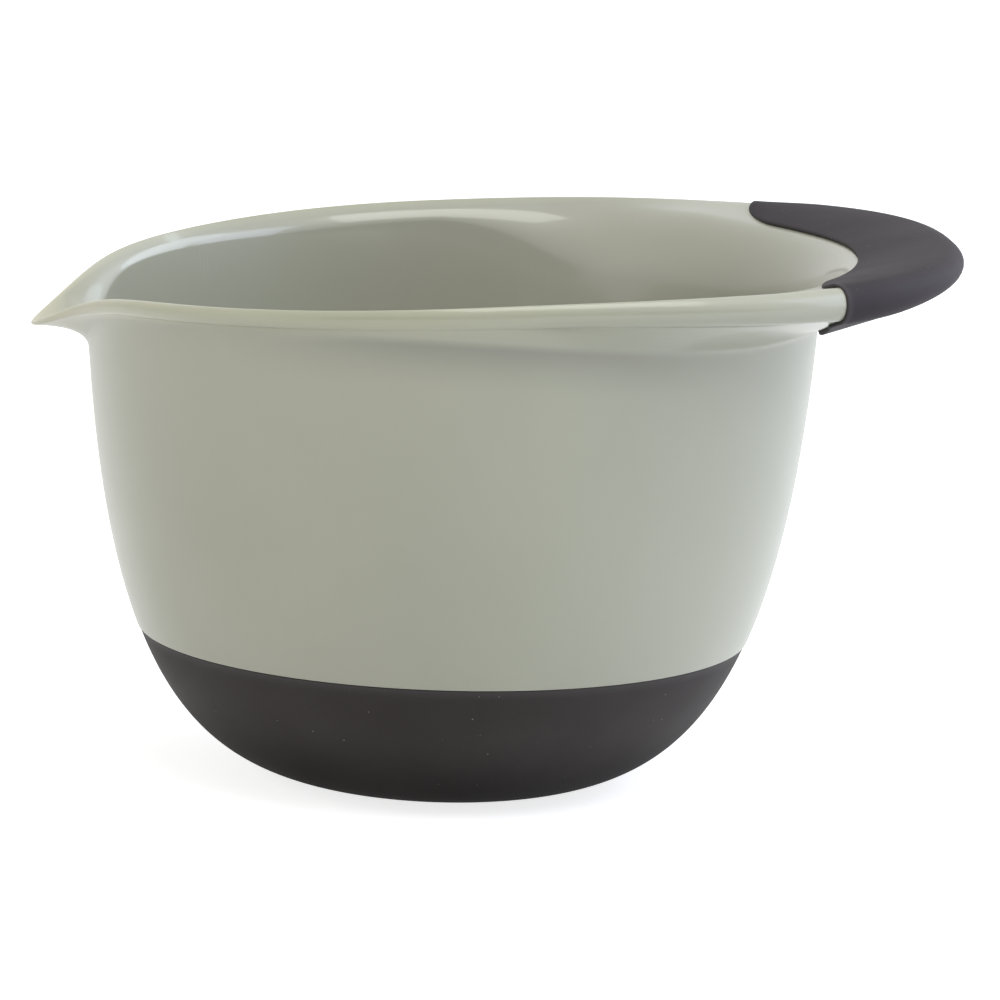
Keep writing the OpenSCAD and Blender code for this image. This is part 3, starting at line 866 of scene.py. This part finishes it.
# %% Rubber finish
RUBBER_DUST, RUBBER_RUB = (0.30, 0.29, 0.28, 1), (0.085, 0.08, 0.082, 1)
CLOUD, RUBBER_GRAIN, PATCH, SPECK_CHOICE = (24, 4), (2600, 2), (60, 3), (240, 0)
SPECK_CELLS, SPECK_SIZE, SCUFF_STRETCH = 620.0, 0.13, (45.0, 110.0, 700.0)
FOOT_PAINTED_SHADE = 0.3


def rubber_finish(name, dark, light, rough, shine, wear):
    f = Finish(bpy.data.materials.new(name))
    spot = axes(f)[0]
    edge, low = mark(f, "edge"), mark(f, "low")
    cloud, grain, patch = (f.noise(spot, *n) for n in (CLOUD, RUBBER_GRAIN, PATCH))
    cells = {"Vector": spot, "Scale": SPECK_CELLS, "Randomness": 1.0}
    speck = f.add("ShaderNodeTexVoronoi", None, cells, "Distance")
    chosen = f.noise(spot, *SPECK_CHOICE).between(0.71, 0.75)
    dust = (speck < SPECK_SIZE) * chosen
    streaks = f.add("ShaderNodeMapping", None, {"Vector": spot, "Scale": SCUFF_STRETCH})
    scuff = f.noise(streaks, 1, 2).between(0.72, 0.77) * patch.between(0.60, 0.68) * wear
    colour = f.blend(cloud.between(0.3, 0.7), dark, light)
    colour = f.blend(edge * 0.35 + scuff * 0.5, colour, RUBBER_RUB)
    colour = f.blend(dust * 0.4 + scuff * 0.25, colour, RUBBER_DUST)
    # painted shade: the base's colour darkens towards its foot
    colour = f.blend(low * 0.8, colour, (*(v * FOOT_PAINTED_SHADE for v in dark[:3]), 1))
    roughness = rough + (patch - 0.5) * 0.12 - edge * 0.05 + low * 0.3
    height = grain + dust * 0.6
    bump = f.add("ShaderNodeBump", None, {"Strength": 0.25, "Distance": 0.12 * MM, "Height": height})
    principled(f, Base_Color=colour, Roughness=roughness, Normal=bump, IOR=1.45,
               Specular_IOR_Level=shine)
    return f.owner


plastic = plastic_finish()
base_rubber = rubber_finish("soft_base_rubber", dark=(0.0255, 0.0212, 0.0202, 1),
                            light=(0.0315, 0.027, 0.026, 1), rough=0.66, shine=0.23, wear=0.4)
grip_rubber = rubber_finish("soft_grip_rubber", dark=(0.0265, 0.0213, 0.0250, 1),
                            light=(0.0335, 0.0280, 0.0325, 1), rough=0.68, shine=0.22, wear=1.0)
print("finishes:", plastic.name, base_rubber.name, grip_rubber.name)

# %% [markdown]
# ## Dressing the frame
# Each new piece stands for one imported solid, rides on the one body and takes its own finish. The
# solids stay in the frame for collision, but they aren't shown.

# %% Dress
for new, node, slot, finish in ((bowl, "bowl_shell", "shell_plastic", plastic),
                                (base, "base_skin", "base_rubber", base_rubber),
                                (grip, "handle_grip", "grip_rubber", grip_rubber)):
    new.data.materials.append(finish)
    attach(new, "root")
    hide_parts(node)
    print(new.name, "stands for", node)
